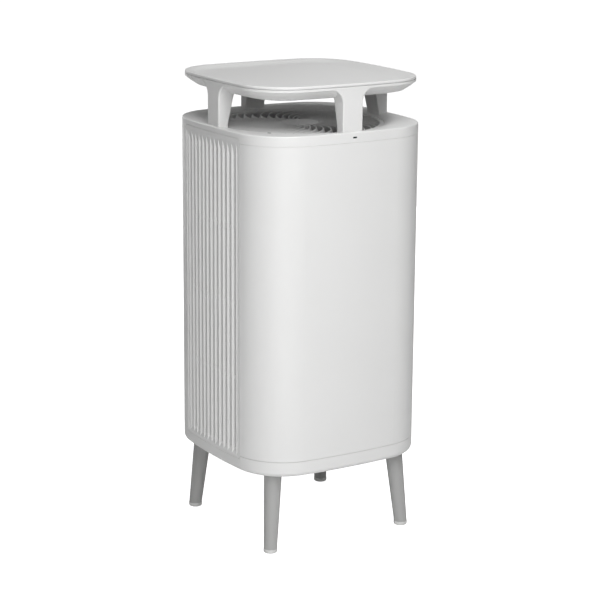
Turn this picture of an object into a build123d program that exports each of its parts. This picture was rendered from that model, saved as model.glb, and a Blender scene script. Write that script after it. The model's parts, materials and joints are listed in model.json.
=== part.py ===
"""Free-standing air purifier with a small table on top.

A square housing with bowed sides and round corners stands on four splayed legs. Air comes in
through the swirl grille in the top and the round grille in the base, is moved by two fans and
leaves through a pleated filter and a ribbed cover on each side.

Frame: millimetres, origin on the floor under the middle of the housing, +Z up, front towards -Y,
side covers towards -X and +X.
"""

import math
import os

from build123d import *

# ---------------------------------------------------------------- driving dimensions
HALF = 150.0  # half the width of the housing, measured at the middle of a side
SIDE_R = 850.0  # radius of the bowed sides
CORNER_R = 77.0  # radius of the round corners
TABLE_HALF = 144.5  # half the width of the table top
TABLE_SIDE_R = 987.0  # radius of its bowed sides
TABLE_CORNER_R = 70.0

Z_TOP = 683.0  # lip of the table top
Z_CAP = 615.0  # top edge of the cap
Z_UPPER = 600.5  # joint between the cap and the panels
Z_LOWER = 142.0  # joint between the panels and the base
Z_BASE = 119.2  # underside of the base
Z_MID = (Z_UPPER + Z_LOWER) / 2

GAP = 0.3  # clearance between neighbouring pieces
PANEL_T = 2.6  # wall of the front and rear panels
SHELL_T = 3.0  # wall of the cap and the base

COVER_HALF = 79.0  # half the width of a side cover
COVER_TOP = 607.0
COVER_BOTTOM = 137.6
COVER_T = 6.4  # depth of a side cover, crest of the ribs to the back
SHOULDER = 5.0  # width of the slanted shoulders at the top of a cover
COVER_CORNER = 2.5
RIB_COUNT = 13
RIB_PITCH = 11.7
RIB_WIDTH = 6.6  # at the foot of a rib
RIB_HEIGHT = 2.6
RIB_CREST_R = 0.7
SLOT_WIDTH = 2.0  # air slots between the ribs

POST_WIDTH = 33.0
POST_DEPTH = 15.0  # at the foot of a post
POST_FOOT = 609.5  # underside of a post, in its pocket in the cap
WINDOW_TOP = 675.0  # top of the openings between the posts

OPENING_R = 124.6  # round opening in the cap
GRILLE_R = 124.2
FIN_COUNT = 36
FIN_T = 1.6  # thickness of a fin
FIN_BOTTOM = 600.0
FAN_R = 82.0
DUCT_R = 84.0  # inside of the duct round a fan
FAN_BLADES = 7
SHAFT_R = 4.0

FILTER_HALF = 68.2  # half the width of a filter
FILTER_HEIGHT = 403.5
FILTER_OUT = 134.5  # outer face of a filter
FILTER_IN = 96.0  # inner face of a filter frame
PLEAT_PITCH = 6.4

LEG_TOP_AT = 105.5  # middle of a leg at the base, along X and Y
LEG_FOOT_AT = 114.8  # middle of a foot, along X and Y
LEG_TOP_R = 13.2
LEG_FOOT_R = 9.8
PAD_R = 10.2
PAD_H = 6.0

CORNERS = [(-1, -1), (1, -1), (-1, 1), (1, 1)]
MIDDLE = Plane.XY.offset(Z_MID)


# ---------------------------------------------------------------- shared outlines and pieces
def bowed_square(half, side_r, corner_r, inset=0.0):
    """Square with bowed sides and round corners, moved inwards by inset."""
    k = side_r - half
    c = (math.sqrt(2 * (side_r - corner_r) ** 2 - k**2) - k) / 2  # centre of a corner arc
    tangent_x = (side_r - inset) * c / (side_r - corner_r)
    tangent_y = k - (side_r - inset) * (c + k) / (side_r - corner_r)
    diagonal = c + (corner_r - inset) * math.sqrt(0.5)
    with BuildSketch() as shape:
        with BuildLine():
            for turn in range(4):
                side = [(-tangent_x, tangent_y), (0, inset - half), (tangent_x, tangent_y)]
                corner = [(tangent_x, tangent_y), (diagonal, -diagonal), (-tangent_y, -tangent_x)]
                for arc in (side, corner):
                    ThreePointArc(*[Vector(*p).rotate(Axis.Z, 90 * turn) for p in arc])
        make_face()
    return shape.sketch


def body_outline(inset=0.0):
    return bowed_square(HALF, SIDE_R, CORNER_R, inset)


def table_outline(inset=0.0):
    return bowed_square(TABLE_HALF, TABLE_SIDE_R, TABLE_CORNER_R, inset)


def side_x(y, inset=0.0):
    """Distance of the housing's side from the middle plane, at y along it."""
    return math.sqrt((SIDE_R - inset) ** 2 - y**2) - (SIDE_R - HALF)


def finish(builder, label):
    """Label a piece and write it."""
    builder.part.label = label
    os.makedirs("parts", exist_ok=True)
    export_step(builder.part, f"parts/{label}.step")


def screw(length, head_r=3.6, head_h=2.8, shank_r=2.0):
    """Pan-head screw, pointing up, with the underside of its head at z = 0."""
    with BuildPart() as piece:
        Cylinder(shank_r, length, align=(Align.CENTER, Align.CENTER, Align.MIN))
        Cylinder(head_r, head_h, align=(Align.CENTER, Align.CENTER, Align.MAX))
        with BuildSketch(Plane.XY.offset(-head_h)):
            RegularPolygon(head_r * 0.5, 6)
        extrude(amount=head_h * 0.6, mode=Mode.SUBTRACT)
        fillet(piece.edges().filter_by(GeomType.CIRCLE).group_by(Axis.Z)[0], 0.8)
    return piece.part


# ---------------------------------------------------------------- base
BASE_OPENING_R = 92.0
BASE_GRILLE_R = 96.0
BASE_ROUND = 7.5
FLOOR_TOP = Z_BASE + SHELL_T
PAN_COVE = 5.0  # the floor of the base starts this far inside its wall
BOSS_R, BOSS_TOP = 17.0, 136.0  # bosses that take the legs
PILLAR_R = 5.0  # pillars that take the deck screws
PILOT_R = 2.05
STUD_BOTTOM, STUD_TOP = 104.0, 134.0
NOTCH_DEPTH = 139.5  # the covers are let into the cap and the base as far in as this
NOTCH_HALF = COVER_HALF + 0.4
LIP_INNER = 84.0  # the locating lips stop short of the covers at this distance along a side
DECK_SCREWS = [(x, y) for x in (-40, 40) for y in (-132, 132)]
DECK_TOP = 598.0
DECK_BOTTOM = DECK_TOP - 3.0


def lip_ring():
    """Section of the lips that locate the panels on the cap and on the base."""
    with BuildSketch() as ring:
        add(body_outline(PANEL_T + GAP))
        add(body_outline(PANEL_T + GAP + 2.3), mode=Mode.SUBTRACT)
        Rectangle(3 * HALF, 2 * LIP_INNER, mode=Mode.SUBTRACT)
    return ring.sketch


with BuildPart() as base_pan:
    with BuildSketch(Plane.XY.offset(Z_BASE)):
        add(body_outline())
    extrude(amount=Z_LOWER - Z_BASE)
    fillet(base_pan.edges().group_by(Axis.Z)[0], BASE_ROUND)
    with BuildSketch(Plane.XY.offset(FLOOR_TOP + PAN_COVE)):
        add(body_outline(SHELL_T))
    extrude(amount=Z_LOWER, mode=Mode.SUBTRACT)
    with BuildSketch(Plane.XY.offset(FLOOR_TOP)):
        add(body_outline(SHELL_T + PAN_COVE))
    extrude(amount=Z_LOWER, mode=Mode.SUBTRACT)
    with BuildSketch(Plane.XY.offset(Z_LOWER - 4)):
        add(lip_ring())
    extrude(amount=10)
    for x in (-1, 1):
        with BuildSketch(Plane.YZ.offset(x * (NOTCH_DEPTH + 8))):
            with Locations((0, Z_LOWER)):
                RectangleRounded(2 * NOTCH_HALF, 2 * (Z_LOWER - COVER_BOTTOM + 0.3), 3)
        extrude(amount=8, both=True, mode=Mode.SUBTRACT)
    with BuildSketch(Plane.XY.offset(Z_BASE + 1)):
        with Locations([(x * LEG_TOP_AT, y * LEG_TOP_AT) for x, y in CORNERS]):
            Circle(BOSS_R)
    extrude(amount=BOSS_TOP - Z_BASE - 1)
    with BuildSketch(Plane.XY.offset(Z_BASE + 1)):
        with Locations(DECK_SCREWS):
            Circle(PILLAR_R)
    extrude(amount=2 * Z_MID - DECK_TOP - GAP - Z_BASE - 1)
    with BuildSketch(Plane.XY.offset(Z_BASE)):
        Circle(BASE_OPENING_R)
        with Locations([(x * LEG_TOP_AT, y * LEG_TOP_AT) for x, y in CORNERS]):
            Circle(SHAFT_R + 0.05)
    extrude(amount=STUD_TOP + 0.5 - Z_BASE, mode=Mode.SUBTRACT)
    with BuildSketch(Plane.XY.offset(Z_BASE)):
        Circle(BASE_GRILLE_R + 0.3)
    extrude(amount=1.8, mode=Mode.SUBTRACT)
    with BuildSketch(Plane.XY.offset(2 * Z_MID - 606.0)):
        with Locations(DECK_SCREWS):
            Circle(PILOT_R)
    extrude(amount=20, mode=Mode.SUBTRACT)
finish(base_pan, "base_pan")

with BuildPart() as base_grille:
    with BuildSketch(Plane.XY.offset(Z_BASE)):
        Circle(BASE_GRILLE_R)
        Circle(BASE_GRILLE_R - 7, mode=Mode.SUBTRACT)
    extrude(amount=1.7)
    with BuildSketch(Plane.XY.offset(Z_BASE + 0.2)):
        for ring_r in range(90, 19, -10):
            Circle(ring_r + 1.1)
            Circle(ring_r - 1.1, mode=Mode.SUBTRACT)
            with PolarLocations(0, 8):
                with Locations((ring_r, 0)):
                    Rectangle(14, 3)
        Circle(14)
        Circle(BASE_OPENING_R - 0.5, mode=Mode.INTERSECT)
    extrude(amount=2.2)
finish(base_grille, "base_grille")

# ---------------------------------------------------------------- legs and feet
LEG_NAMES = ["leg_front_left", "leg_front_right", "leg_rear_left", "leg_rear_right"]
for (side, depth), leg_name in zip(CORNERS, LEG_NAMES):
    with BuildPart() as leg:
        with BuildSketch(Plane.XY.offset(PAD_H)):
            with Locations((side * LEG_FOOT_AT, depth * LEG_FOOT_AT)):
                Circle(LEG_FOOT_R)
        with BuildSketch(Plane.XY.offset(Z_BASE)):
            with Locations((side * LEG_TOP_AT, depth * LEG_TOP_AT)):
                Circle(LEG_TOP_R)
        loft()
        with BuildSketch(Plane.XY.offset(STUD_BOTTOM - 1)):
            with Locations((side * LEG_TOP_AT, depth * LEG_TOP_AT)):
                Circle(SHAFT_R + 0.05)
        extrude(amount=STUD_TOP, mode=Mode.SUBTRACT)
        with BuildSketch(Plane.XY):
            with Locations((side * LEG_FOOT_AT, depth * LEG_FOOT_AT)):
                Circle(SHAFT_R + 0.05)
        extrude(amount=15, mode=Mode.SUBTRACT)
    finish(leg, leg_name)

with BuildPart() as foot_pads:
    with Locations([(x * LEG_FOOT_AT, y * LEG_FOOT_AT) for x, y in CORNERS]):
        Cylinder(PAD_R, PAD_H, align=(Align.CENTER, Align.CENTER, Align.MIN))
    fillet(foot_pads.edges().filter_by(GeomType.CIRCLE).group_by(Axis.Z)[0], 2.4)
    fillet(foot_pads.edges().filter_by(GeomType.CIRCLE).group_by(Axis.Z)[-1], 0.5)
    with BuildSketch(Plane.XY.offset(PAD_H - 1)):
        with Locations([(x * LEG_FOOT_AT, y * LEG_FOOT_AT) for x, y in CORNERS]):
            Circle(SHAFT_R)
    extrude(amount=9)
finish(foot_pads, "foot_pads")

with BuildPart() as leg_studs:
    with BuildSketch(Plane.XY.offset(STUD_BOTTOM)):
        with Locations([(x * LEG_TOP_AT, y * LEG_TOP_AT) for x, y in CORNERS]):
            Circle(SHAFT_R)
    extrude(amount=STUD_TOP - STUD_BOTTOM)
    chamfer(leg_studs.edges().filter_by(GeomType.CIRCLE), 0.8)
finish(leg_studs, "leg_studs")

# ---------------------------------------------------------------- front and rear panels
FLANGE_EDGE = COVER_HALF + 0.6
RETURN_BACK, RETURN_FRONT = 133.8, 136.4
PANEL_BOTTOM = Z_LOWER + 0.2
PANEL_HEIGHT = Z_UPPER - Z_LOWER - 0.4
FRAME_SCREW_AT = 75.5
FRAME_SCREW_LEVELS = (200.0, Z_MID, 543.0)
FRAME_BACK, FRAME_FRONT = 136.5, 139.5  # faces of the plate of a side frame
INLET_Z = 168.0
INLET_W, INLET_H = 27.4, 19.4
SENSOR_X, SENSOR_Z = 50.0, 518.0

with BuildPart() as front_panel:
    with BuildSketch(Plane.XY.offset(PANEL_BOTTOM)):
        add(body_outline())
        add(body_outline(PANEL_T), mode=Mode.SUBTRACT)
        with Locations((0, HALF - FLANGE_EDGE)):
            Rectangle(3 * HALF, 2 * HALF, mode=Mode.SUBTRACT)
        for x in (-1, 1):
            with Locations((x * (RETURN_BACK + 145.4) / 2, -FLANGE_EDGE - PANEL_T / 2)):
                Rectangle(145.4 - RETURN_BACK, PANEL_T)
            with Locations((x * (RETURN_BACK + RETURN_FRONT) / 2, -FLANGE_EDGE + 2.4)):
                Rectangle(RETURN_FRONT - RETURN_BACK, 10)
    extrude(amount=PANEL_HEIGHT)
    outer_rims = front_panel.edges().filter_by(
        lambda e: abs(e.center().Z - Z_MID) > 200 and e.center().Y < -FLANGE_EDGE - 5
        and e.length > 60
    )
    fillet(outer_rims.sort_by(lambda e: -e.length)[0:2], 0.7)
    with Locations([
        Location((x * RETURN_BACK, -FRAME_SCREW_AT, z), (0, 90, 0))
        for x in (-1, 1) for z in FRAME_SCREW_LEVELS
    ]):
        Cylinder(1.5, 12, mode=Mode.SUBTRACT)
finish(front_panel, "front_panel")

with BuildPart() as rear_panel:
    add(front_panel.part.rotate(Axis.Z, 180))
    with Locations((0, HALF, INLET_Z)):
        Box(INLET_W + 0.6, 20, INLET_H + 0.6, mode=Mode.SUBTRACT)
    for level in range(4):
        with Locations((SENSOR_X, HALF, SENSOR_Z - 9 + 6 * level)):
            Box(24, 20, 2, mode=Mode.SUBTRACT)
finish(rear_panel, "rear_panel")

# ---------------------------------------------------------------- side covers
FLOOR_R = SIDE_R - RIB_HEIGHT - 0.2  # floor between the ribs, about the centre of the bow
RIB_TOP = COVER_TOP - 4.6
RIB_BOTTOM = COVER_BOTTOM + 4.6
UPPER_RAMP, LOWER_RAMP = 16.5, 6.0  # the grooves run out over these lengths at their ends
FIELD_HALF = (RIB_TOP - RIB_BOTTOM) / 2  # half the height of the ribbed field
BORDER = RIB_COUNT * RIB_PITCH / 2 + 0.15  # half the width of the ribbed field
FIELD_ANGLE = math.degrees((BORDER - 0.05) / SIDE_R)
TIERS = 4  # rows of air slots
TIER_GAP = 6.0  # web left between two rows
TIER = (2 * FIELD_HALF - UPPER_RAMP - LOWER_RAMP) / TIERS
PEG_PLACES = [(y, z) for y in (-60.0, 60.0) for z in (154.5, 588.0)]  # clear of the filter
PEG_R = 3.0
PEG_END = 128.0
SIDE_CENTRE = HALF - SIDE_R  # centre of the right side's bow, along X


def on_side(radius, along):
    """Place on the right side, at a radius about the centre of its bow and a distance along it."""
    angle = along / SIDE_R
    x = SIDE_CENTRE + radius * math.cos(angle)
    return Location((x, radius * math.sin(angle)), math.degrees(angle))


def side_band(outer, inner, half_width):
    """Section of the right wall between two insets, as wide as twice half_width."""
    with BuildSketch() as band:
        with Locations((HALF, 0)):
            Rectangle(HALF, 2 * half_width)
        add(body_outline(outer), mode=Mode.INTERSECT)
        add(body_outline(inner), mode=Mode.SUBTRACT)
    return band.sketch


with BuildSketch() as rib_section:
    Polygon((-0.6, -RIB_WIDTH / 2), (RIB_HEIGHT, 0), (-0.6, RIB_WIDTH / 2), align=None)
    fillet(rib_section.vertices().sort_by(Axis.X)[-1], RIB_CREST_R)

with BuildPart() as right_cover:
    with BuildSketch(Plane.XY.offset(COVER_BOTTOM)):
        add(side_band(0, COVER_T, COVER_HALF))
    extrude(amount=COVER_TOP - COVER_BOTTOM)
    # cut lower corners and slanted shoulders
    with BuildSketch(Plane.YZ.offset(HALF / 2)):
        with Locations((0, Z_MID)):
            Rectangle(3 * HALF, 6 * HALF)
        with BuildLine():
            Polyline(
                (SHOULDER - COVER_HALF, COVER_TOP), (-COVER_HALF, Z_UPPER),
                (-COVER_HALF, COVER_BOTTOM + COVER_CORNER),
                (COVER_CORNER - COVER_HALF, COVER_BOTTOM),
                (COVER_HALF - COVER_CORNER, COVER_BOTTOM),
                (COVER_HALF, COVER_BOTTOM + COVER_CORNER),
                (COVER_HALF, Z_UPPER), (COVER_HALF - SHOULDER, COVER_TOP), close=True,
            )
        make_face(mode=Mode.SUBTRACT)
    extrude(amount=HALF, mode=Mode.SUBTRACT)
    # recessed field whose floor rises to the surface at both ends
    for turn in (-1, 1):
        with BuildSketch(Plane((SIDE_CENTRE, 0, Z_MID), x_dir=(1, 0, 0), z_dir=(0, -1, 0))):
            with BuildLine():
                Polyline(
                    (FLOOR_R, LOWER_RAMP - FIELD_HALF), (FLOOR_R, FIELD_HALF - UPPER_RAMP),
                    (SIDE_R, FIELD_HALF), (SIDE_R + 1, FIELD_HALF), (SIDE_R + 1, -FIELD_HALF),
                    (SIDE_R, -FIELD_HALF), close=True,
                )
            make_face()
        revolve(
            axis=Axis((SIDE_CENTRE, 0, 0), (0, 0, 1)), revolution_arc=turn * FIELD_ANGLE,
            mode=Mode.SUBTRACT,
        )
    # ribs that stand in it
    with BuildSketch(Plane.XY.offset(RIB_BOTTOM)):
        for k in range(RIB_COUNT):
            with Locations(on_side(FLOOR_R, (k - RIB_COUNT // 2) * RIB_PITCH)):
                add(rib_section.sketch)
    extrude(amount=RIB_TOP - RIB_BOTTOM)
    # air slots between the ribs
    for level in range(TIERS):
        with BuildSketch(Plane.XY.offset(RIB_BOTTOM + LOWER_RAMP + level * TIER + TIER_GAP / 2)):
            for k in range(RIB_COUNT - 1):
                with Locations(on_side(SIDE_R, (k + 1 - RIB_COUNT / 2) * RIB_PITCH)):
                    Rectangle(30, SLOT_WIDTH)
        extrude(amount=TIER - TIER_GAP, mode=Mode.SUBTRACT)
    # pegs that snap into the side frame
    with Locations([Location((PEG_END, y, z), (0, 90, 0)) for y, z in PEG_PLACES]):
        Cylinder(PEG_R, HALF - 5.5 - PEG_END, align=(Align.CENTER, Align.CENTER, Align.MIN))
finish(right_cover, "right_cover")

with BuildPart() as left_cover:
    add(right_cover.part.rotate(Axis.Z, 180))
finish(left_cover, "left_cover")

# ---------------------------------------------------------------- side frames
TUNNEL_HALF = 69.0  # inside of the pocket that takes the filter
TUNNEL_HEIGHT = 406.0
TUNNEL_T = 2.5
TUNNEL_END = 90.0
SEAT = 9.0  # width of the ledge that the filter's gasket rests on

with BuildPart() as right_side_frame:
    with Locations(((FRAME_BACK + FRAME_FRONT) / 2, 0, Z_MID)):
        Box(FRAME_FRONT - FRAME_BACK, 2 * COVER_HALF + 0.4, Z_UPPER - Z_LOWER - 2)
    with Locations(((TUNNEL_END + FRAME_BACK) / 2, 0, Z_MID)):
        Box(
            FRAME_BACK - TUNNEL_END, 2 * (TUNNEL_HALF + TUNNEL_T), TUNNEL_HEIGHT + 2 * TUNNEL_T
        )
    with Locations((TUNNEL_END + TUNNEL_T + 50, 0, Z_MID)):
        Box(100, 2 * TUNNEL_HALF, TUNNEL_HEIGHT, mode=Mode.SUBTRACT)
    with Locations((TUNNEL_END, 0, Z_MID)):
        Box(20, 2 * (TUNNEL_HALF - SEAT), TUNNEL_HEIGHT - 2 * SEAT, mode=Mode.SUBTRACT)
    with Locations([Location((FRAME_BACK, y, z), (0, -90, 0)) for y, z in PEG_PLACES]):
        Cylinder(PEG_R + 2, 10, align=(Align.CENTER, Align.CENTER, Align.MIN))
    with Locations([Location((FRAME_BACK, y, z), (0, 90, 0)) for y, z in PEG_PLACES]):
        Cylinder(PEG_R + GAP, 30, mode=Mode.SUBTRACT)
    with Locations([
        Location((FRAME_FRONT, y, z), (0, 90, 0))
        for y in (-FRAME_SCREW_AT, FRAME_SCREW_AT) for z in FRAME_SCREW_LEVELS
    ]):
        CounterSinkHole(1.5, 3.0)
finish(right_side_frame, "right_side_frame")

with BuildPart() as left_side_frame:
    add(right_side_frame.part.rotate(Axis.Z, 180))
finish(left_side_frame, "left_side_frame")

with BuildPart() as frame_screws:
    with Locations([
        Location((x * (FRAME_FRONT - 9), y, z), (0, x * 90, 0))
        for x in (-1, 1) for y in (-FRAME_SCREW_AT, FRAME_SCREW_AT) for z in FRAME_SCREW_LEVELS
    ]):
        Cylinder(1.45, 9, align=(Align.CENTER, Align.CENTER, Align.MIN))
    with Locations([
        Location((x * (FRAME_FRONT - 1.45), y, z), (0, x * 90, 0))
        for x in (-1, 1) for y in (-FRAME_SCREW_AT, FRAME_SCREW_AT) for z in FRAME_SCREW_LEVELS
    ]):
        Cone(1.45, 2.9, 1.45, align=(Align.CENTER, Align.CENTER, Align.MIN))
finish(frame_screws, "frame_screws")

# ---------------------------------------------------------------- filters
FILTER_WALL = 3.0
MEDIA_FRONT, MEDIA_BACK = 131.0, 99.0
MITRE = 5.0  # depth of the paper at a fold
PLEATS = 20

with BuildPart() as right_filter_frame:
    with Locations(((FILTER_OUT + FILTER_IN) / 2, 0, Z_MID)):
        Box(FILTER_OUT - FILTER_IN, 2 * FILTER_HALF, FILTER_HEIGHT)
    fillet(right_filter_frame.edges().filter_by(Axis.X), 2)
    with Locations(((FILTER_OUT + FILTER_IN) / 2, 0, Z_MID)):
        Box(100, 2 * (FILTER_HALF - FILTER_WALL), FILTER_HEIGHT - 2 * FILTER_WALL,
            mode=Mode.SUBTRACT)
    for y in (-1, 1):
        with Locations((FILTER_OUT - 0.75, y * FILTER_HALF / 3, Z_MID)):
            Box(1.5, 4, FILTER_HEIGHT - FILTER_WALL)
    for level in (-1, 0, 1):
        with Locations((FILTER_OUT - 0.75, 0, Z_MID + level * FILTER_HEIGHT / 4)):
            Box(1.5, 2 * FILTER_HALF - FILTER_WALL, 4)
finish(right_filter_frame, "right_filter_frame")

with BuildPart() as right_filter_media:
    with BuildSketch(Plane.XY.offset(Z_MID - FILTER_HEIGHT / 2 + FILTER_WALL + 0.1)):
        folds = [
            (MEDIA_FRONT if k % 2 else MEDIA_BACK + MITRE, (k - PLEATS) * PLEAT_PITCH / 2)
            for k in range(2 * PLEATS + 1)
        ]
        with BuildLine():
            Polyline(*folds, *[(x - MITRE, y) for x, y in reversed(folds)], close=True)
        make_face()
    extrude(amount=FILTER_HEIGHT - 2 * FILTER_WALL - 0.2)
finish(right_filter_media, "right_filter_media")

with BuildPart() as right_filter_gasket:
    with Locations((FILTER_IN - 1.6, 0, Z_MID)):
        Box(3.2, 2 * FILTER_HALF - 1, FILTER_HEIGHT - 1)
        Box(10, 2 * FILTER_HALF - 13, FILTER_HEIGHT - 13, mode=Mode.SUBTRACT)
finish(right_filter_gasket, "right_filter_gasket")

with BuildPart() as right_filter_tab:
    with BuildSketch(Plane.XZ.offset(-10)):
        with Locations((FILTER_OUT + 1.6, Z_MID + 30)):
            Rectangle(3.0, 46)
    extrude(amount=20)
    fillet(right_filter_tab.edges().filter_by(Axis.Y), 1.2)
finish(right_filter_tab, "right_filter_tab")

for piece, left_name in (
    (right_filter_frame, "left_filter_frame"), (right_filter_media, "left_filter_media"),
    (right_filter_gasket, "left_filter_gasket"), (right_filter_tab, "left_filter_tab"),
):
    with BuildPart() as left_piece:
        add(piece.part.rotate(Axis.Z, 180))
    finish(left_piece, left_name)

# ---------------------------------------------------------------- fan decks and drives
DUCT_BOTTOM, DUCT_TOP = 540.0, 577.0
MOUTH_R = 122.0
WALL = 2.5
CUP_R = 36.0
MOTOR_R = 32.0
MOTOR_BOTTOM, MOTOR_TOP = 520.0, 552.0
HUB_R = 34.0
HUB_BOTTOM, HUB_TOP = 556.0, 582.0
BEARING_R = 9.0
BEARING_H = 6.0

with BuildPart() as top_fan_deck:
    with BuildSketch(Plane.XY.offset(DECK_BOTTOM)):
        add(body_outline(PANEL_T + GAP + 2.6))
        Rectangle(2 * (RETURN_BACK - 0.5), 3 * HALF, mode=Mode.INTERSECT)
        Circle(MOUTH_R + 1, mode=Mode.SUBTRACT)
        with Locations(DECK_SCREWS):
            Circle(2.1, mode=Mode.SUBTRACT)
    extrude(amount=DECK_TOP - DECK_BOTTOM)
    with BuildSketch(Plane.XZ):
        with BuildLine():
            Line((DUCT_R, DUCT_BOTTOM), (DUCT_R, DUCT_TOP))
            Bezier((DUCT_R, DUCT_TOP), (DUCT_R, 590), (100, DECK_TOP), (MOUTH_R, DECK_TOP))
            Polyline((MOUTH_R, DECK_TOP), (MOUTH_R + 2, DECK_TOP), (MOUTH_R + 2, DECK_BOTTOM))
            Bezier(
                (MOUTH_R + 2, DECK_BOTTOM), (102, DECK_BOTTOM), (DUCT_R + WALL, 589),
                (DUCT_R + WALL, DUCT_TOP),
            )
            Polyline(
                (DUCT_R + WALL, DUCT_TOP), (DUCT_R + WALL, DUCT_BOTTOM), (DUCT_R, DUCT_BOTTOM)
            )
        make_face()
    revolve(axis=Axis.Z)

with BuildPart() as top_motor_mount:
    with BuildSketch(Plane.XY.offset(DUCT_BOTTOM - 10)):
        Circle(DUCT_R + WALL)
        Circle(DUCT_R, mode=Mode.SUBTRACT)
        Circle(CUP_R)
        with PolarLocations((CUP_R + DUCT_R) / 2, 4, start_angle=45):
            Rectangle(DUCT_R - CUP_R + 2, 6)
        Circle(MOTOR_R + 0.1, mode=Mode.SUBTRACT)
    extrude(amount=10)

with BuildPart() as top_motor:
    with BuildSketch(Plane.XY.offset(MOTOR_BOTTOM)):
        Circle(MOTOR_R)
    extrude(amount=MOTOR_TOP - MOTOR_BOTTOM)
    fillet(top_motor.edges(), 3)
    with BuildSketch(Plane.XY.offset(DUCT_BOTTOM - 12)):
        Circle(CUP_R)
    extrude(amount=2)
    with BuildSketch(Plane.XY.offset(MOTOR_BOTTOM)):
        Circle(SHAFT_R + 1)
    extrude(amount=MOTOR_TOP, mode=Mode.SUBTRACT)
    for level in (MOTOR_BOTTOM, MOTOR_TOP - BEARING_H):
        with BuildSketch(Plane.XY.offset(level)):
            Circle(BEARING_R + 0.02)
        extrude(amount=BEARING_H, mode=Mode.SUBTRACT)

with BuildPart() as top_bearings:
    for level in (MOTOR_BOTTOM, MOTOR_TOP - BEARING_H):
        with BuildSketch(Plane.XY.offset(level)):
            Circle(BEARING_R)
            Circle(SHAFT_R + 0.05, mode=Mode.SUBTRACT)
        extrude(amount=BEARING_H)

with BuildPart() as top_shaft:
    with BuildSketch(Plane.XY.offset(MOTOR_BOTTOM - 3)):
        Circle(SHAFT_R)
    extrude(amount=HUB_TOP + 6 - MOTOR_BOTTOM + 3)
    chamfer(top_shaft.edges().filter_by(GeomType.CIRCLE), 0.6)

with BuildPart() as blade:
    for radius, chord, pitch, lead in ((HUB_R - 4, 26.0, 48.0, 0.0), (FAN_R, 50.0, 25.0, -6.0)):
        with BuildSketch(Plane((radius, lead, (HUB_BOTTOM + HUB_TOP) / 2), x_dir=(0, 1, 0),
                               z_dir=(1, 0, 0))):
            with Locations(Rotation(0, 0, pitch)):
                RectangleRounded(chord, 2.2, 0.9)
    loft()

with BuildPart() as top_impeller:
    with BuildSketch(Plane.XY.offset(HUB_BOTTOM)):
        Circle(HUB_R)
    extrude(amount=HUB_TOP - HUB_BOTTOM)
    fillet(top_impeller.edges().group_by(Axis.Z)[-1], 5)
    with BuildSketch(Plane.XY.offset(HUB_BOTTOM)):
        Circle(HUB_R - 2.5)
    extrude(amount=HUB_TOP - HUB_BOTTOM - 6, mode=Mode.SUBTRACT)
    with BuildSketch(Plane.XY.offset(HUB_BOTTOM)):
        Circle(SHAFT_R + 4)
        with PolarLocations(HUB_R / 2, 6):
            Rectangle(HUB_R - 3, 2)
    extrude(amount=HUB_TOP - HUB_BOTTOM - 5)
    with BuildSketch(Plane.XY.offset(HUB_BOTTOM)):
        Circle(SHAFT_R + 0.02)
    extrude(amount=HUB_TOP, mode=Mode.SUBTRACT)
    with PolarLocations(0, FAN_BLADES):
        add(blade.part)
    with BuildSketch(Plane.XY.offset(HUB_BOTTOM)):
        Circle(FAN_R)
        Circle(SHAFT_R + 0.02, mode=Mode.SUBTRACT)
    extrude(amount=HUB_TOP - HUB_BOTTOM, mode=Mode.INTERSECT)

with BuildPart() as top_shaft_nut:
    with BuildSketch(Plane.XY.offset(HUB_TOP)):
        RegularPolygon(7.5, 6)
    extrude(amount=4)
    with BuildSketch(Plane.XY.offset(HUB_TOP + 4)):
        Circle(6)
    extrude(amount=4)
    fillet(top_shaft_nut.edges().group_by(Axis.Z)[-1], 2.5)
    with BuildSketch(Plane.XY.offset(HUB_TOP)):
        Circle(SHAFT_R + 0.02)
    extrude(amount=6.2, mode=Mode.SUBTRACT)

with BuildPart() as top_ioniser:
    with Locations((0, 60, DUCT_BOTTOM - 17)):
        Box(9, 16, 14)
    fillet(top_ioniser.edges().filter_by(Axis.Z), 2)
    with BuildSketch(Plane.XY.offset(DUCT_BOTTOM - 30)):
        with Locations((0, 56), (0, 64)):
            Circle(1.2)
    extrude(amount=7)

for piece, label in (
    (top_fan_deck, "fan_deck"), (top_motor_mount, "motor_mount"), (top_motor, "motor"),
    (top_bearings, "bearings"), (top_shaft, "shaft"), (top_impeller, "impeller"),
    (top_shaft_nut, "shaft_nut"), (top_ioniser, "ioniser"),
):
    finish(piece, f"top_{label}")
    with BuildPart() as bottom_piece:
        add(mirror(piece.part, about=MIDDLE))
    finish(bottom_piece, f"bottom_{label}")

# ---------------------------------------------------------------- top cap and grille
CAP_CEILING = 606.4
DISH_EDGE = 610.5  # level of the cap's dished top at the round opening
DISH_R = 146.0  # the dish meets the flat rim here
GRILLE_SEAT = 605.5
LIGHT_PIPES = [(-108.5, -96.0), (-86.5, -109.5), (-76.5, -114.5), (-66.0, -119.0)]
PIPE_R = 1.6
STATUS_Z = 607.6
TABLE_SCREW_AT = 134.6
TABLE_SCREWS = [
    (TABLE_SCREW_AT, 0), (0, TABLE_SCREW_AT), (-TABLE_SCREW_AT, 0), (0, -TABLE_SCREW_AT)
]
POST_MIDDLE = TABLE_HALF - POST_DEPTH / 2

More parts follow.
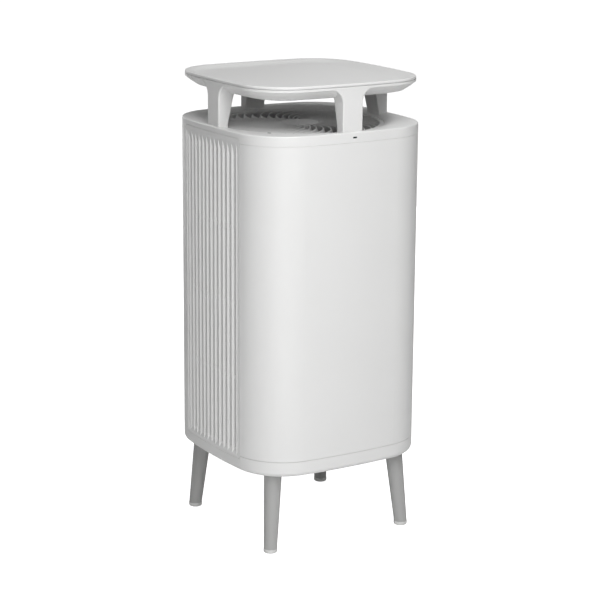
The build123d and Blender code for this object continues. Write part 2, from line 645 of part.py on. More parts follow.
with BuildPart() as top_cap:
    with BuildSketch(Plane.XY.offset(Z_UPPER)):
        add(body_outline())
    extrude(amount=Z_CAP - Z_UPPER)
    fillet(top_cap.edges().group_by(Axis.Z)[-1], 1.8)
    # dished top
    with BuildSketch(Plane.XZ):
        with BuildLine():
            Polyline((OPENING_R, DISH_EDGE), (0, DISH_EDGE), (0, Z_CAP + 5), (DISH_R, Z_CAP + 5),
                     (DISH_R, Z_CAP))
            TangentArc((DISH_R, Z_CAP), (OPENING_R, DISH_EDGE), tangent=(-1, 0))
        make_face()
    revolve(axis=Axis.Z, mode=Mode.SUBTRACT)
    # hollow underside, with a collar round the opening and screw bosses
    with BuildSketch(Plane.XY.offset(Z_UPPER)):
        add(body_outline(SHELL_T))
        Circle(OPENING_R + 3.5, mode=Mode.SUBTRACT)
    extrude(amount=CAP_CEILING - Z_UPPER, mode=Mode.SUBTRACT)
    with BuildSketch(Plane.XY.offset(Z_UPPER - 6)):
        add(lip_ring())
    extrude(amount=8.5)
    with BuildSketch(Plane.XY.offset(DECK_TOP + GAP)):
        with Locations(DECK_SCREWS):
            Circle(PILLAR_R)
    extrude(amount=CAP_CEILING - DECK_TOP)
    with BuildSketch(Plane.XY.offset(CAP_CEILING - 3)):
        for x, y in TABLE_SCREWS:
            with Locations((x * 0.98, y * 0.98)):
                Rectangle(9 + abs(y) * 0.08, 9 + abs(x) * 0.08)
    extrude(amount=3.5)
    # openings
    with BuildSketch(Plane.XY.offset(Z_UPPER - 10)):
        Circle(OPENING_R - 5.5)
    extrude(amount=40, mode=Mode.SUBTRACT)
    with BuildSketch(Plane.XY.offset(GRILLE_SEAT)):
        Circle(OPENING_R)
    extrude(amount=20, mode=Mode.SUBTRACT)
    with BuildSketch(Plane.XY.offset(Z_UPPER - 10)):
        with Locations(TABLE_SCREWS):
            Circle(1.65)
        with Locations(LIGHT_PIPES):
            Circle(PIPE_R + 0.1)
    extrude(amount=40, mode=Mode.SUBTRACT)
    with BuildSketch(Plane.XY.offset(Z_UPPER - 10)):
        with Locations(DECK_SCREWS):
            Circle(PILOT_R)
    extrude(amount=CAP_CEILING - Z_UPPER + 9, mode=Mode.SUBTRACT)
    # pockets for the posts, recesses for the side covers, slot for the status window
    for x, y in TABLE_SCREWS:
        with Locations((x / TABLE_SCREW_AT * POST_MIDDLE, y / TABLE_SCREW_AT * POST_MIDDLE,
                        POST_FOOT)):
            Box(
                (POST_DEPTH if x else POST_WIDTH) + 0.3, (POST_DEPTH if y else POST_WIDTH) + 0.3,
                20, align=(Align.CENTER, Align.CENTER, Align.MIN), mode=Mode.SUBTRACT,
            )
    for x in (-1, 1):
        with BuildSketch(Plane.YZ.offset(x * (NOTCH_DEPTH + 8))):
            with BuildLine():
                Polyline(
                    (-NOTCH_HALF, Z_UPPER - 10), (-NOTCH_HALF, Z_UPPER + 0.2),
                    (4.8 - NOTCH_HALF, COVER_TOP + 0.4), (NOTCH_HALF - 4.8, COVER_TOP + 0.4),
                    (NOTCH_HALF, Z_UPPER + 0.2), (NOTCH_HALF, Z_UPPER - 10), close=True,
                )
            make_face()
        extrude(amount=8, both=True, mode=Mode.SUBTRACT)
    with BuildSketch(Plane.XZ.offset(HALF - 10)):
        with Locations((0, STATUS_Z)):
            SlotOverall(7.2, 2.6)
    extrude(amount=20, mode=Mode.SUBTRACT)
finish(top_cap, "top_cap")

with BuildPart() as status_window:
    with BuildSketch(Plane.XZ.offset(HALF - 4)):
        with Locations((0, STATUS_Z)):
            SlotOverall(7.0, 2.4)
    extrude(amount=3.8)
finish(status_window, "status_window")

with BuildPart() as light_pipes:
    for x, y in LIGHT_PIPES:
        with BuildSketch(Plane.XY.offset(CAP_CEILING - 1.7)):
            with Locations((x, y)):
                Circle(PIPE_R)
        extrude(amount=DISH_EDGE + 2.6 - CAP_CEILING)
finish(light_pipes, "light_pipes")

with BuildPart() as touch_board:
    with BuildSketch(Plane.XY.offset(CAP_CEILING - 3.3)):
        with Locations(Location((-87.5, -108.5), -28)):
            Rectangle(56, 15)
    extrude(amount=1.6)
finish(touch_board, "touch_board")

FIN_SPINE = [Vector(26, 0), Vector(72, -28), Vector(82.5, -84.5)]
GRILLE_HUB_R = 28.0

with BuildPart() as fin:
    for level, lead in ((FIN_BOTTOM, 0.0), (GRILLE_SEAT + 4, -4.0)):
        with BuildSketch(Plane.XY.offset(level)):
            with BuildLine(mode=Mode.PRIVATE) as spine:
                ThreePointArc(*[point.rotate(Axis.Z, lead) for point in FIN_SPINE])
            trace(spine.line, FIN_T)
    loft(ruled=True)

with BuildPart() as top_grille:
    with BuildSketch(Plane.XY.offset(GRILLE_SEAT)):
        Circle(GRILLE_R)
        Circle(GRILLE_R - 6.5, mode=Mode.SUBTRACT)
    extrude(amount=4)
    with BuildSketch(Plane.XY.offset(FIN_BOTTOM)):
        Circle(GRILLE_HUB_R)
    extrude(amount=GRILLE_SEAT + 4 - FIN_BOTTOM)
    with PolarLocations(0, FIN_COUNT):
        add(fin.part)
finish(top_grille, "top_grille")

# ---------------------------------------------------------------- table
BAND_TOP = 678.5
TABLE_UNDER = 660.0
COVE = [(0.0, WINDOW_TOP + 0.2), (7.0, 669.5), (18.0, 662.5), (30.0, TABLE_UNDER)]
OUTER_ROUND, INNER_ROUND = 2.0, 1.5  # rounding of the posts' edges

with BuildPart() as window:
    with Locations((POST_WIDTH / 2, POST_WIDTH / 2, WINDOW_TOP)):
        Box(2 * HALF, 2 * HALF, 200, align=(Align.MIN, Align.MIN, Align.MAX))
    rims = window.edges().group_by(Axis.Z)[-1]
    fillet([rims.sort_by(Axis.X)[0], rims.sort_by(Axis.Y)[0]], 20)

with BuildPart() as skirt:
    with BuildSketch(Plane.XY.offset(POST_FOOT)):
        add(table_outline())
    extrude(amount=WINDOW_TOP - POST_FOOT)
    with BuildSketch(Plane.XY.offset(POST_FOOT)):
        add(table_outline(POST_DEPTH))
    extrude(amount=Z_CAP - POST_FOOT, mode=Mode.SUBTRACT)
    with BuildSketch(Plane.XY.offset(Z_CAP)):
        add(table_outline(POST_DEPTH))
    with BuildSketch(Plane.XY.offset(WINDOW_TOP)):
        add(table_outline(POST_DEPTH + 14))
    loft(ruled=True, mode=Mode.SUBTRACT)
    for turn in range(4):
        add(window.part.rotate(Axis.Z, 90 * turn), mode=Mode.SUBTRACT)
    for reach, radius in ((TABLE_HALF, OUTER_ROUND), (TABLE_HALF - POST_DEPTH - 6, INNER_ROUND)):
        rims = skirt.edges().filter_by(
            lambda e: Z_CAP < e.center().Z < WINDOW_TOP - 1
            and abs(max(abs(e.center().X), abs(e.center().Y)) - reach) < 7
        )
        fillet(rims, radius)

with BuildPart() as table_frame:
    with BuildSketch(Plane.XY.offset(COVE[0][1])):
        add(table_outline())
    extrude(amount=BAND_TOP - COVE[0][1])
    for (outer, high), (inner, low) in zip(COVE, COVE[1:]):
        with BuildSketch(Plane.XY.offset(high)):
            add(table_outline(outer))
        with BuildSketch(Plane.XY.offset(low)):
            add(table_outline(inner))
        loft(ruled=True)
    for (outer, high), (inner, low) in zip(COVE, COVE[1:]):
        with BuildSketch(Plane.XY.offset(high + 3.3)):
            add(table_outline(outer + 3))
        with BuildSketch(Plane.XY.offset(low + 3)):
            add(table_outline(inner + 3))
        loft(ruled=True, mode=Mode.SUBTRACT)
    add(skirt.part)
    with BuildSketch(Plane.XY.offset(POST_FOOT)):
        with Locations(TABLE_SCREWS):
            Circle(1.65)
    extrude(amount=18, mode=Mode.SUBTRACT)
finish(table_frame, "table_frame")

LIP_BOTTOM = 679.0
DISH_FLOOR = 678.2
DISH_T = 2.2
DISH = [(2.6, Z_TOP), (10.0, 680.4), (24.0, DISH_FLOOR)]

with BuildPart() as table_top:
    with BuildSketch(Plane.XY.offset(LIP_BOTTOM)):
        add(table_outline())
    extrude(amount=Z_TOP - LIP_BOTTOM)
    fillet(table_top.edges().group_by(Axis.Z)[-1], 1.6)
    with BuildSketch(Plane.XY.offset(DISH_FLOOR - DISH_T)):
        add(table_outline(6.5))
    extrude(amount=LIP_BOTTOM - DISH_FLOOR + DISH_T + 1)
    for (outer, high), (inner, low) in zip(DISH, DISH[1:]):
        with BuildSketch(Plane.XY.offset(high + 0.001)):
            add(table_outline(outer))
        with BuildSketch(Plane.XY.offset(low)):
            add(table_outline(inner))
        loft(ruled=True, mode=Mode.SUBTRACT)
finish(table_top, "table_top")

# ---------------------------------------------------------------- boards, sensor and supply
BOARD_BACK = 119.6
BOARD_T = 1.6

with BuildPart() as main_board:
    with Locations((0, BOARD_BACK - BOARD_T / 2, 390)):
        Box(90, BOARD_T, 120)
    for x, z, width, depth, height in (
        (-22, 420, 24, 3, 24), (18, 415, 16, 9, 16), (-18, 365, 12, 12, 20), (10, 360, 20, 8, 10),
        (32, 380, 8, 7, 30), (-34, 390, 6, 5, 12),
    ):
        with Locations((x, BOARD_BACK - BOARD_T - depth / 2, z)):
            Box(width, depth, height)
finish(main_board, "main_board")

with BuildPart() as board_standoffs:
    for x in (-40, 40):
        for z in (335, 445):
            with Locations(Location((x, BOARD_BACK, z), (-90, 0, 0))):
                Cylinder(3, side_x(x, PANEL_T) - BOARD_BACK - 0.2,
                         align=(Align.CENTER, Align.CENTER, Align.MIN))
finish(board_standoffs, "board_standoffs")

with BuildPart() as power_supply:
    with Locations((0, 131, 250)):
        Box(76, 30, 116)
    fillet(power_supply.edges().filter_by(Axis.Z), 3)
    for level in range(6):
        with Locations((0, 116, 215 + 14 * level)):
            Box(52, 6, 3, mode=Mode.SUBTRACT)
finish(power_supply, "power_supply")

with BuildPart() as power_inlet:
    with Locations((0, HALF - 12.4, INLET_Z)):
        Box(INLET_W, 24, INLET_H)
    fillet(power_inlet.edges().filter_by(Axis.Y), 2)
    with BuildSketch(Plane.XZ.offset(-HALF)):
        with Locations((0, INLET_Z)):
            SlotOverall(16.5, 9.0)
    extrude(amount=15, mode=Mode.SUBTRACT)
    with BuildSketch(Plane.XZ.offset(-HALF + 3)):
        with Locations((-4.3, INLET_Z), (4.3, INLET_Z)):
            Circle(1.2)
    extrude(amount=14)
finish(power_inlet, "power_inlet")

with BuildPart() as particle_sensor:
    with Locations((SENSOR_X, 130.5, SENSOR_Z)):
        Box(44, 25, 36)
        with Locations((0, 10, 0)):
            Box(24, 20, 20, mode=Mode.SUBTRACT)
finish(particle_sensor, "particle_sensor")

# ---------------------------------------------------------------- screws
table_screw = screw(20, head_r=3.4, head_h=2.4, shank_r=1.6)
deck_screw = screw(10)

with BuildPart() as table_screws:
    for x, y in TABLE_SCREWS:
        add(table_screw.moved(Location((x, y, CAP_CEILING - 3.0))))
finish(table_screws, "table_screws")

with BuildPart() as cap_screws:
    for x, y in DECK_SCREWS:
        add(deck_screw.moved(Location((x, y, DECK_BOTTOM))))
finish(cap_screws, "cap_screws")

with BuildPart() as base_screws:
    add(mirror(cap_screws.part, about=MIDDLE))
finish(base_screws, "base_screws")
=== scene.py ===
"""The looks of the air purifier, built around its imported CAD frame. Metres, row frame."""

import json
import math

import bmesh
import bpy
from mathutils import Matrix, Vector


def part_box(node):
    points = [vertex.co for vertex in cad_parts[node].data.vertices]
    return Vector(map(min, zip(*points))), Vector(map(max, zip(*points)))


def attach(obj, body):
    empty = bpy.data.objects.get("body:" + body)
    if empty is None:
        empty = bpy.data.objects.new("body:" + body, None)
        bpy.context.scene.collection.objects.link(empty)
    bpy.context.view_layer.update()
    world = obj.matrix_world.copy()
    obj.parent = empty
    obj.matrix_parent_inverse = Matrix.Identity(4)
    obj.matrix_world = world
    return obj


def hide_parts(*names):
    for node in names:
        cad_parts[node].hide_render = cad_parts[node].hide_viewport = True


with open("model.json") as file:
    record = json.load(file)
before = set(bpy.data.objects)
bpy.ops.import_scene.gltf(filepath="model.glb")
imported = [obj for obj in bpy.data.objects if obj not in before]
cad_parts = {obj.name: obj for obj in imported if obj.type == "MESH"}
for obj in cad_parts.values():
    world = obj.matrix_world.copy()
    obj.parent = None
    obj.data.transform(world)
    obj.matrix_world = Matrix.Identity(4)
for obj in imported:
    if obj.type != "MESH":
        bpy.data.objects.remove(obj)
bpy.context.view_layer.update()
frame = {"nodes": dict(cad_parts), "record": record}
NODES = frame["nodes"]
SLOTS = {part["node"]: part["material_slot"] for part in frame["record"]["subparts"]}
MM = 0.001

# ---------------------------------------------------------------- camera, light and floor
CAMERA_AZIMUTH = -31.5  # degrees, 0 looks along +Y
CAMERA_ELEVATION = 14.15
CAMERA_ROLL = 0.41
CAMERA_DISTANCE = 2.87
CAMERA_LENS = 114.8
AIM = (0.0, 0.0, 0.336)
AIM_OFFSET = (0.0029, 0.0043)  # right and up, in the camera's own directions

LIT_POINT = Vector((0, 0, 0.35))  # the lights point at this place
SEEN_GLOW = 1.0  # light of their own that the floor and the surroundings show to the camera
AMBIENT = 0.08  # light that the surroundings give to the object
FLOOR_SIZE = 60

# name, azimuth, elevation, distance, width, height, power
SOFTBOXES = [
    ("key", -32, 4, 0.62, 0.25, 1.3, 0.95),
    ("middle", -26, 27, 3.0, 1.6, 1.6, 21),
    ("high", -14, 50, 2.6, 1.6, 1.6, 37),
    ("top", 0, 88, 2.4, 2.2, 2.2, 15),
    ("back", 180, 8, 2.4, 1.2, 1.6, 11),
    ("back_right", 135, 6, 2.4, 1.2, 1.6, 7),
]


def direction(azimuth, elevation):
    az, el = math.radians(azimuth), math.radians(elevation)
    return Vector((math.sin(az) * math.cos(el), -math.cos(az) * math.cos(el), math.sin(el)))


def camera_axes(back):
    """Right and up directions of a level camera that looks against back."""
    right = Vector((0, 0, 1)).cross(back).normalized()
    return right, back.cross(right)


def camera():
    back = direction(CAMERA_AZIMUTH, CAMERA_ELEVATION)
    right, up = camera_axes(back)
    place = Vector(AIM) + back * CAMERA_DISTANCE
    target = Vector(AIM) + right * AIM_OFFSET[0] + up * AIM_OFFSET[1]
    back = (place - target).normalized()
    right, up = camera_axes(back)
    turn = math.radians(CAMERA_ROLL)
    across = right * math.cos(turn) + up * math.sin(turn)
    above = up * math.cos(turn) - right * math.sin(turn)
    data = bpy.data.cameras.new("camera")
    data.lens = CAMERA_LENS
    data.clip_end = 100
    eye = bpy.data.objects.new("camera", data)
    eye.matrix_world = Matrix((
        (across.x, above.x, back.x, place.x),
        (across.y, above.y, back.y, place.y),
        (across.z, above.z, back.z, place.z),
        (0, 0, 0, 1),
    ))
    bpy.context.scene.collection.objects.link(eye)
    bpy.context.scene.camera = eye


def softbox(name, azimuth, elevation, distance, width, height, power):
    """Area light that points at the middle of the object and isn't seen itself."""
    away = direction(azimuth, elevation)
    data = bpy.data.lights.new(name, "AREA")
    data.shape = "RECTANGLE"
    data.size = width
    data.size_y = height
    data.energy = power
    lamp = bpy.data.objects.new(name, data)
    lamp.location = LIT_POINT + away * distance
    lamp.rotation_euler = away.to_track_quat("Z", "Y").to_euler()
    lamp.visible_camera = False
    bpy.context.scene.collection.objects.link(lamp)


def seen_only(tree, strength_socket, seen, lit):
    """Set a strength to one value as the camera sees it and another as it lights the object."""
    path = tree.nodes.new("ShaderNodeLightPath")
    pick = tree.nodes.new("ShaderNodeMapRange")
    pick.inputs["To Min"].default_value = lit
    pick.inputs["To Max"].default_value = seen
    tree.links.new(path.outputs["Is Camera Ray"], pick.inputs["Value"])
    tree.links.new(pick.outputs["Result"], strength_socket)


def studio():
    world = bpy.data.worlds.new("studio")
    world.use_nodes = True
    sky = world.node_tree.nodes["Background"]
    sky.inputs["Color"].default_value = (1, 1, 1, 1)
    seen_only(world.node_tree, sky.inputs["Strength"], SEEN_GLOW, AMBIENT)
    bpy.context.scene.world = world
    for box in SOFTBOXES:
        softbox(*box)
    bpy.context.scene.view_settings.view_transform = "Standard"

    bpy.ops.mesh.primitive_plane_add(size=FLOOR_SIZE, location=(0, 0, 0))
    floor = bpy.context.object
    floor.name = "floor"
    made = material("floor_white", (0.9, 0.9, 0.9), 0.9)
    shader = made.node_tree.nodes["Principled BSDF"]
    shader.inputs["Emission Color"].default_value = (1, 1, 1, 1)
    seen_only(made.node_tree, shader.inputs["Emission Strength"], SEEN_GLOW, 0.0)
    floor.data.materials.append(made)


# ---------------------------------------------------------------- materials
SLOW_SCALE, SLOW_DETAIL = 9, 4  # noise behind the slow changes in tone and gloss
FINE_DETAIL = 2
GLOSS_SPREAD = 0.05
WEAVE_PAINTED_SHADE = 0.55  # painted shade: tone factor between the threads, where the weave sinks
CELL_PAINTED_SHADE = 0.5  # painted shade: tone factor at the bottom of a cell
TRACK_SCALE = 60


def new_material(name):
    made = bpy.data.materials.new(name)
    made.use_nodes = True
    return made, made.node_tree.nodes, made.node_tree.links


def noise(nodes, links, place, scale, detail, stretch):
    """Noise over the object's own coordinates, stretched along its axes."""
    spread = nodes.new("ShaderNodeMapping")
    spread.inputs["Scale"].default_value = stretch
    links.new(place.outputs["Object"], spread.inputs["Vector"])
    made = nodes.new("ShaderNodeTexNoise")
    made.inputs["Scale"].default_value = scale
    made.inputs["Detail"].default_value = detail
    links.new(spread.outputs["Vector"], made.inputs["Vector"])
    return made


def blend_colour(nodes, links, factor, low, high):
    mix = nodes.new("ShaderNodeMix")
    mix.data_type = "RGBA"
    mix.inputs["A"].default_value = (*low, 1)
    mix.inputs["B"].default_value = (*high, 1)
    links.new(factor, mix.inputs["Factor"])
    return mix.outputs["Result"]


def shade(colour, part):
    return [channel * part for channel in colour]


def relief(nodes, links, shader, height, strength, depth):
    bump = nodes.new("ShaderNodeBump")
    bump.inputs["Strength"].default_value = strength
    bump.inputs["Distance"].default_value = depth
    links.new(height, bump.inputs["Height"])
    links.new(bump.outputs["Normal"], shader.inputs["Normal"])


def material(name, colour, roughness, grain=0.6 * MM, bump=0.1, tone=0.03, metallic=0.0,
             coat=0.0, stretch=(1, 1, 1)):
    """Moulded or finished surface: fine grain in the bump, slow changes in tone and gloss."""
    made, nodes, links = new_material(name)
    shader = nodes["Principled BSDF"]
    shader.inputs["Metallic"].default_value = metallic
    shader.inputs["Coat Weight"].default_value = coat
    place = nodes.new("ShaderNodeTexCoord")
    slow = noise(nodes, links, place, SLOW_SCALE, SLOW_DETAIL, stretch)
    tinted = blend_colour(nodes, links, slow.outputs["Fac"], shade(colour, 1 - tone), colour)
    links.new(tinted, shader.inputs["Base Color"])
    gloss = nodes.new("ShaderNodeMapRange")
    gloss.inputs["To Min"].default_value = roughness - GLOSS_SPREAD
    gloss.inputs["To Max"].default_value = roughness + GLOSS_SPREAD
    links.new(slow.outputs["Fac"], gloss.inputs["Value"])
    links.new(gloss.outputs["Result"], shader.inputs["Roughness"])
    fine = noise(nodes, links, place, 1 / grain, FINE_DETAIL, stretch)
    relief(nodes, links, shader, fine.outputs["Fac"], bump, grain / 4)
    return made


def woven(name, colour, pitch):
    """Plain weave of two crossing sets of threads, with painted shade between the threads."""
    made, nodes, links = new_material(name)
    shader = nodes["Principled BSDF"]
    shader.inputs["Roughness"].default_value = 0.85
    shader.inputs["Sheen Weight"].default_value = 0.3
    place = nodes.new("ShaderNodeTexCoord")
    threads = []
    for across in ("Y", "Z"):
        wave = nodes.new("ShaderNodeTexWave")
        wave.bands_direction = across
        wave.inputs["Scale"].default_value = 1 / (3.2 * pitch)
        wave.inputs["Distortion"].default_value = 0.6
        links.new(place.outputs["Object"], wave.inputs["Vector"])
        threads.append(wave.outputs["Fac"])
    cloth = nodes.new("ShaderNodeMath")
    cloth.operation = "MULTIPLY"
    links.new(threads[0], cloth.inputs[0])
    links.new(threads[1], cloth.inputs[1])
    weave = cloth.outputs["Value"]
    # painted shade: the colour darkens between the threads, where the relief sinks
    tinted = blend_colour(nodes, links, weave, shade(colour, WEAVE_PAINTED_SHADE), colour)
    links.new(tinted, shader.inputs["Base Color"])
    relief(nodes, links, shader, weave, 0.6, pitch / 3)
    return made


def cellular(name, colour, cell):
    """Foam with small cells in its relief, and painted shade at the bottom of each cell in its
    colour.
    """
    made, nodes, links = new_material(name)
    shader = nodes["Principled BSDF"]
    shader.inputs["Roughness"].default_value = 0.95
    place = nodes.new("ShaderNodeTexCoord")
    cells = nodes.new("ShaderNodeTexVoronoi")
    cells.inputs["Scale"].default_value = 1 / cell
    links.new(place.outputs["Object"], cells.inputs["Vector"])
    depth = cells.outputs["Distance"]
    # painted shade: the colour darkens towards the bottom of each cell, where the relief sinks
    tinted = blend_colour(nodes, links, depth, shade(colour, CELL_PAINTED_SHADE), colour)
    links.new(tinted, shader.inputs["Base Color"])
    relief(nodes, links, shader, depth, 0.5, cell / 2)
    return made


def circuit(name, mask, copper):
    """Solder-masked board with lighter tracks under the mask."""
    made, nodes, links = new_material(name)
    shader = nodes["Principled BSDF"]
    shader.inputs["Roughness"].default_value = 0.3
    shader.inputs["Coat Weight"].default_value = 0.4
    place = nodes.new("ShaderNodeTexCoord")
    bricks = nodes.new("ShaderNodeTexBrick")
    bricks.inputs["Scale"].default_value = TRACK_SCALE
    bricks.inputs["Mortar Size"].default_value = 0.06
    bricks.inputs["Color1"].default_value = (*mask, 1)
    bricks.inputs["Color2"].default_value = (*shade(mask, 0.8), 1)
    bricks.inputs["Mortar"].default_value = (*copper, 1)
    turned = nodes.new("ShaderNodeMapping")
    turned.inputs["Rotation"].default_value = (math.radians(90), 0, 0)
    links.new(place.outputs["Object"], turned.inputs["Vector"])
    links.new(turned.outputs["Vector"], bricks.inputs["Vector"])
    links.new(bricks.outputs["Color"], shader.inputs["Base Color"])
    relief(nodes, links, shader, bricks.outputs["Fac"], 0.3, 0.1 * MM)
    return made


def finishes():
    """One material for each of the record's slots."""
    return {
        "white_plastic": material("white_plastic", (0.735, 0.735, 0.73), 0.42, 0.5 * MM, 0.08),
        "table_white": material("table_white", (0.735, 0.735, 0.73), 0.48, 0.35 * MM, 0.12),
        "grille_white": material("grille_white", (0.70, 0.70, 0.695), 0.45, 0.5 * MM, 0.08),
        "leg_grey": material("leg_grey", (0.40, 0.40, 0.395), 0.5, 0.4 * MM, 0.12, tone=0.05),
        "foot_white": material("foot_white", (0.66, 0.66, 0.65), 0.75, 0.3 * MM, 0.25),
        "chassis_grey": material("chassis_grey", (0.34, 0.345, 0.35), 0.5, 0.6 * MM, 0.15),
        "fan_grey": material("fan_grey", (0.075, 0.078, 0.083), 0.4, 0.5 * MM, 0.12, tone=0.08),
        "motor_black": material("motor_black", (0.018, 0.018, 0.02), 0.38, 0.4 * MM, 0.15,
                                tone=0.15),
        "steel": material("steel", (0.58, 0.58, 0.59), 0.3, 0.25 * MM, 0.12, tone=0.08,
                          metallic=1.0, stretch=(1, 1, 0.1)),
        "board_green": circuit("board_green", (0.01, 0.06, 0.025), (0.03, 0.13, 0.05)),
        "lens_dark": material("lens_dark", (0.03, 0.03, 0.032), 0.15, 0.5 * MM, 0.02, coat=0.5),
        "filter_frame_white": material("filter_frame_white", (0.68, 0.675, 0.66), 0.7, 0.8 * MM,
                                       0.3, tone=0.06, stretch=(1, 1, 0.2)),
        "filter_paper": material("filter_paper", (0.74, 0.735, 0.71), 0.9, 0.35 * MM, 0.5,
                                 tone=0.10, stretch=(1, 1, 0.35)),
        "tab_fabric": woven("tab_fabric", (0.08, 0.11, 0.15), 0.9 * MM),
        "gasket_foam": cellular("gasket_foam", (0.10, 0.10, 0.105), 0.7 * MM),
    }


# ---------------------------------------------------------------- mesh helpers
NODE_SHARP = math.radians(28)  # edges of the CAD nodes that turn more than this stay sharp
PIECE_SHARP = math.radians(40)  # the same for the pieces made here


def add_piece(name, mesh_source, body, slot_name, replaced=()):
    """Finish a bmesh as a piece on a body, in a slot's material."""
    data = bpy.data.meshes.new(name)
    bmesh.ops.recalc_face_normals(mesh_source, faces=mesh_source.faces)
    mesh_source.to_mesh(data)
    mesh_source.free()
    data.shade_smooth()
    data.set_sharp_from_angle(angle=PIECE_SHARP)
    data.materials.append(FINISHES[slot_name])
    piece = bpy.data.objects.new(name, data)
    bpy.context.scene.collection.objects.link(piece)
    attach(piece, body)
    if replaced:
        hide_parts(*replaced)
    return piece


def skin_rings(mesh, rings, joined=False):
    """Faces between rings of points that have equal counts.

    The last ring is joined to the first, or else both of them get a cap.
    """
    made = [[mesh.verts.new(p) for p in ring] for ring in rings]
    count = len(made[0])
    following = made[1:] + made[:1] if joined else made[1:]
    for low, high in zip(made, following):
        for i in range(count):
            j = (i + 1) % count
            mesh.faces.new((low[i], low[j], high[j], high[i]))
    if not joined:
        mesh.faces.new(made[0])
        mesh.faces.new(made[-1])


# ---------------------------------------------------------------- table tray
TABLE_HALF = 144.5 * MM  # half the width, at the middle of a side
TABLE_SIDE_R = 987 * MM
TABLE_CORNER_R = 70 * MM
TRAY_UNDER, TRAY_TOP = (corner.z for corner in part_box("table_top"))
TRAY_FLOOR = TRAY_TOP - 4.8 * MM
TRAY_LIP_BOTTOM = TRAY_TOP - 4 * MM
TRAY_STEP = 6.5 * MM  # the part under the lip stands in by this
LIP_ROUND, LIP_BREAK = 1.7 * MM, 0.5 * MM  # rounding of the lip's upper and lower edge
LIP_STEPS = 6
DISH_START, DISH_END = 2.6 * MM, 27 * MM  # the dish falls between these insets
DISH_EASE = 0.8  # below 1, the fall is steeper near the lip
DISH_STEPS = 14
FLAT_INSET = 60 * MM  # flat faces close the floor and the underside from here inwards
SIDE_STEPS, CORNER_STEPS = 14, 22


def table_outline(inset, z):
    """Bowed square with round corners, moved inwards by inset, at a level."""
    k = TABLE_SIDE_R - TABLE_HALF
    reach = TABLE_SIDE_R - TABLE_CORNER_R
    c = (math.sqrt(2 * reach**2 - k**2) - k) / 2  # centre of a corner arc
    swing = math.asin(c / reach)
    quarter = []
    for i in range(SIDE_STEPS):
        a = -math.pi / 2 - swing + 2 * swing * i / SIDE_STEPS
        r = TABLE_SIDE_R - inset
        quarter.append(Vector((r * math.cos(a), k + r * math.sin(a), z)))
    for i in range(CORNER_STEPS):
        a = -math.pi / 2 + swing + (math.pi / 2 - 2 * swing) * i / CORNER_STEPS
        r = TABLE_CORNER_R - inset
        quarter.append(Vector((c + r * math.cos(a), r * math.sin(a) - c, z)))
    turns = [Matrix.Rotation(n * math.pi / 2, 3, "Z") for n in range(4)]
    return [turn @ p for turn in turns for p in quarter]


def table_tray():
    """Shallow tray with a rounded lip and a dish that runs out smoothly into a flat floor."""
    profile = [(FLAT_INSET, TRAY_UNDER), (TRAY_STEP, TRAY_UNDER), (TRAY_STEP, TRAY_LIP_BOTTOM)]
    for inset, rise in ((1, 0), (0.3, 0.3), (0, 1)):
        profile.append((inset * LIP_BREAK, TRAY_LIP_BOTTOM + rise * LIP_BREAK))
    for step in range(LIP_STEPS + 1):
        a = math.pi / 2 * step / LIP_STEPS
        profile.append((LIP_ROUND * (1 - math.cos(a)), TRAY_TOP - LIP_ROUND * (1 - math.sin(a))))
    for step in range(DISH_STEPS + 1):
        t = step / DISH_STEPS
        drop = 0.5 - 0.5 * math.cos(math.pi * t**DISH_EASE)
        inset = DISH_START + (DISH_END - DISH_START) * t
        profile.append((inset, TRAY_TOP - (TRAY_TOP - TRAY_FLOOR) * drop))
    profile.append((FLAT_INSET, TRAY_FLOOR))
    mesh = bmesh.new()
    skin_rings(mesh, [table_outline(inset, z) for inset, z in profile])
    return add_piece("table_tray", mesh, "housing", "table_white", ["table_top"])


# ---------------------------------------------------------------- touch marks on the cap
CAP_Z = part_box("top_cap")[1].z
DISH_R, DISH_DROP, OPENING_R = 146.0 * MM, 4.5 * MM, 124.6 * MM  # the cap's dished top
MARK_SINK, MARK_RISE = 0.05 * MM, 0.12 * MM  # below and above the dish
BAR_WIDTH, BAR_STEP = 1.0 * MM, 1.6 * MM
END_STEPS = 6  # steps round the end of a bar
ROW_BEND = 0.75  # below 1, the row of symbols bends the way the cap's corner does

# part of the way along the light pipes, lengths of the bars in millimetres
SYMBOLS = [(0.04, (5.2, 5.2, 5.2)), (0.46, (1.8,)), (0.68, (1.8,)), (0.94, (8.0, 5.8, 3.6))]


def dish_level(x, y):
    """Height of the cap's dished top."""
    width = DISH_R - OPENING_R
    curve = (width**2 + DISH_DROP**2) / (2 * DISH_DROP)
    inside = max(0.0, DISH_R - math.hypot(x, y))
    return CAP_Z - curve + math.sqrt(curve**2 - inside**2)


def bar(mesh, x, y, length):
    """Printed bar with round ends that lies on the dish and runs round it."""
    along = Vector((-y, x, 0)).normalized()
    across = Vector((-along.y, along.x, 0))
    radius = BAR_WIDTH / 2
    outline = []
    for end in (1, -1):
        for step in range(END_STEPS + 1):
            a = math.radians(-90 + 180 * step / END_STEPS)
            outline.append((end * (length / 2 - radius + radius * math.cos(a)),
                            end * radius * math.sin(a)))
    rings = []
    for lift in (-MARK_SINK, MARK_RISE):
        ring = []
        for u, v in outline:
            p = Vector((x, y, 0)) + along * u + across * v
            p.z = dish_level(p.x, p.y) + lift
            ring.append(p)
        rings.append(ring)
    skin_rings(mesh, rings)


def touch_marks():
    """Two symbols of three bars each, with two dots between them, above the light pipes."""
    mesh = bmesh.new()
    low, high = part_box("light_pipes")
    span = high - low
    for part, lengths in SYMBOLS:
        x = low.x + span.x * part
        y = high.y - span.y * part**ROW_BEND
        out = Vector((x, y)).normalized()
        for row, length in enumerate(lengths):
            shift = out * BAR_STEP * (row - (len(lengths) - 1) / 2)
            bar(mesh, x + shift.x, y + shift.y, length * MM)
    return add_piece("touch_marks", mesh, "housing", "lens_dark")


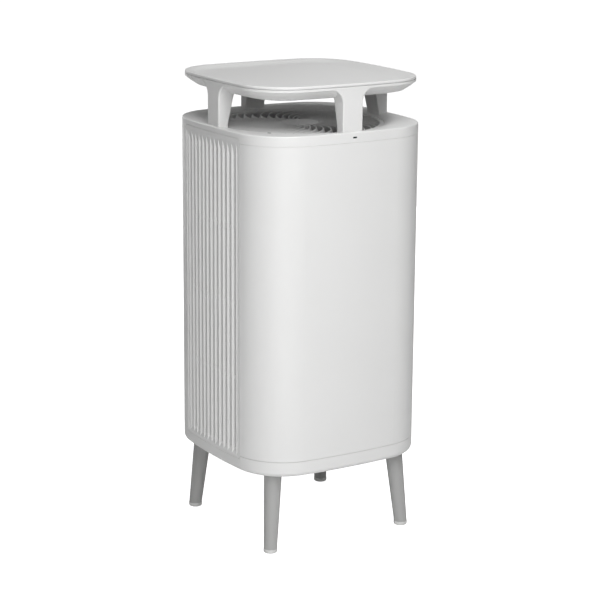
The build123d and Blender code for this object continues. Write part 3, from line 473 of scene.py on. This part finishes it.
# ---------------------------------------------------------------- filter tabs and gaskets
WEBBING_T, WEBBING_RISE = 0.9 * MM, 2.0 * MM
TAB_STEPS = 28
LIFT_FROM, LIFT_TO = 0.132, 0.352  # parts of the length, from an end, where the strap leaves
WEBBING_SECTION = [(-1, -1), (-0.9, 1), (0.9, 1), (1, -1)]  # across and through the webbing
STITCH_ROWS = (2.5 * MM, 5.5 * MM)  # distances of the rows from an end
STITCHES = 7  # in a row
STITCH_HALF = Vector((0.3, 0.85, 0.3)) * MM
SEAL_WIDTH, SEAL_CORNER = 6.0 * MM, 8.0 * MM
SEAL_STEPS = 6  # steps round a corner
SEAL_SECTION = [  # part of the width inwards and part of the height
    (0.0, 0.0), (0.0, 0.55), (0.12, 0.85), (0.5, 1.0), (0.88, 0.85), (1.0, 0.55), (1.0, 0.0)
]


def webbing_rings(low, high, face, out):
    """Sections of a strap that lies on the filter at both ends and arches off it between."""
    rings = []
    for step in range(TAB_STEPS + 1):
        t = step / TAB_STEPS
        from_end = 0.5 - abs(t - 0.5)
        lift = min(1.0, max(0.0, (from_end - LIFT_FROM) / (LIFT_TO - LIFT_FROM)))
        bow = WEBBING_RISE * (0.5 - 0.5 * math.cos(math.pi * lift))
        x = face + out * (WEBBING_T / 2 + bow)
        z = low.z + t * (high.z - low.z)
        ring = []
        for across, through in WEBBING_SECTION:
            y = (low.y + high.y) / 2 + across * (high.y - low.y) / 2
            ring.append((x + out * through * WEBBING_T / 2, y, z))
        rings.append(ring)
    return rings


def stitch(mesh, place):
    shape = bmesh.ops.create_icosphere(mesh, subdivisions=2, radius=1.0)
    for vertex in shape["verts"]:
        vertex.co = place + Vector(a * b for a, b in zip(vertex.co, STITCH_HALF))


def filter_tab(side):
    """Pull loop of webbing, arched off the filter's face and stitched down at both ends."""
    name = f"{side}_filter_tab"
    low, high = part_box(name)
    out = 1 if side == "right" else -1
    face = low.x if out > 0 else high.x
    mesh = bmesh.new()
    skin_rings(mesh, webbing_rings(low, high, face, out))
    x = face + out * (WEBBING_T + 0.1 * MM)
    rows = [low.z + row for row in STITCH_ROWS] + [high.z - row for row in STITCH_ROWS]
    for z in rows:
        for k in range(STITCHES):
            y = low.y + (high.y - low.y) * (k + 1) / (STITCHES + 1)
            stitch(mesh, Vector((x, y, z)))
    return add_piece(f"{side}_pull_tab", mesh, f"{side}_filter", "tab_fabric", [name])


def filter_gasket(side):
    """Foam strip round the inner face of a filter, crowned where it seals."""
    name = f"{side}_filter_gasket"
    low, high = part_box(name)
    back, crown = (high.x, low.x) if side == "right" else (low.x, high.x)
    middle = (low + high) / 2
    half = (high - low) / 2
    rings = []
    for inward, rise in SEAL_SECTION:
        corner = SEAL_CORNER - inward * SEAL_WIDTH
        # the corner arcs keep their centres, so only the radius changes with the section
        centre_y = half.y - SEAL_CORNER
        centre_z = half.z - SEAL_CORNER
        ring = []
        for turn, (sy, sz) in enumerate(((1, 1), (-1, 1), (-1, -1), (1, -1))):
            for step in range(SEAL_STEPS + 1):
                a = math.radians(90 * (turn + step / SEAL_STEPS))
                y = sy * centre_y + corner * math.cos(a)
                z = sz * centre_z + corner * math.sin(a)
                ring.append((back + (crown - back) * rise, middle.y + y, middle.z + z))
        rings.append(ring)
    mesh = bmesh.new()
    skin_rings(mesh, rings, joined=True)
    return add_piece(f"{side}_foam_seal", mesh, f"{side}_filter", "gasket_foam", [name])


# ---------------------------------------------------------------- everything together
camera()
studio()
FINISHES = finishes()
for node_name, node in NODES.items():
    node.data.materials.clear()
    node.data.materials.append(FINISHES[SLOTS[node_name]])
    node.data.shade_smooth()
    node.data.set_sharp_from_angle(angle=NODE_SHARP)

table_tray()
touch_marks()
for flank in ("left", "right"):
    filter_tab(flank)
    filter_gasket(flank)
